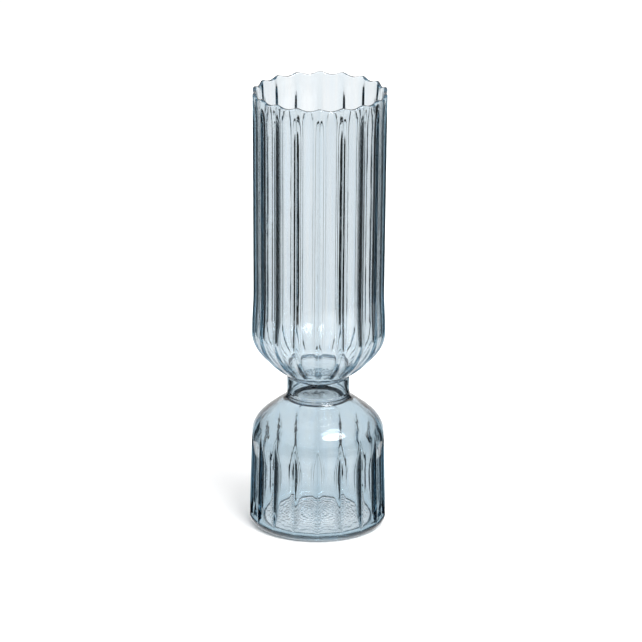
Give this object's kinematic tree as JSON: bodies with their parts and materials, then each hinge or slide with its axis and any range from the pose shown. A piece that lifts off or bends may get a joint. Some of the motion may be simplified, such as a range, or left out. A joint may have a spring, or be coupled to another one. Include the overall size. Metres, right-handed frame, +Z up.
{
  "type": "bud vase",
  "caption": "Fluted glass vase: a tall ribbed cup with an open scalloped mouth, fused through a short plain neck to a ribbed bulb on a flat base.",
  "frame": {"origin": "centre of the foot, on the surface that the vase stands on", "axes": "+Z up along the vase's axis; -Y towards the front, where one rib's crest faces; +X to the right seen from the front"},
  "size_m": [0.0754, 0.076, 0.25],
  "materials": {
    "cup_glass": "clear pale smoke-blue glass, fire polished, ribbed",
    "neck_glass": "clear smoke-blue glass, fire polished, plain",
    "bulb_glass": "clear smoke-blue glass, deeper tint, fire polished, ribbed",
    "seam_glass": "clear smoke-blue glass, fused seam",
    "base_glass": "clear smoke-blue glass, thick pressed base with fine concentric rings"
  },
  "bodies": {
    "root": {"rim_bead": "cup_glass", "upper_cup": "cup_glass", "upper_weld": "seam_glass", "neck_collar": "neck_glass", "lower_weld": "seam_glass", "lower_bulb": "bulb_glass", "heel_ring": "bulb_glass", "base_disc": "base_glass"}
  },
  "joints": []
}
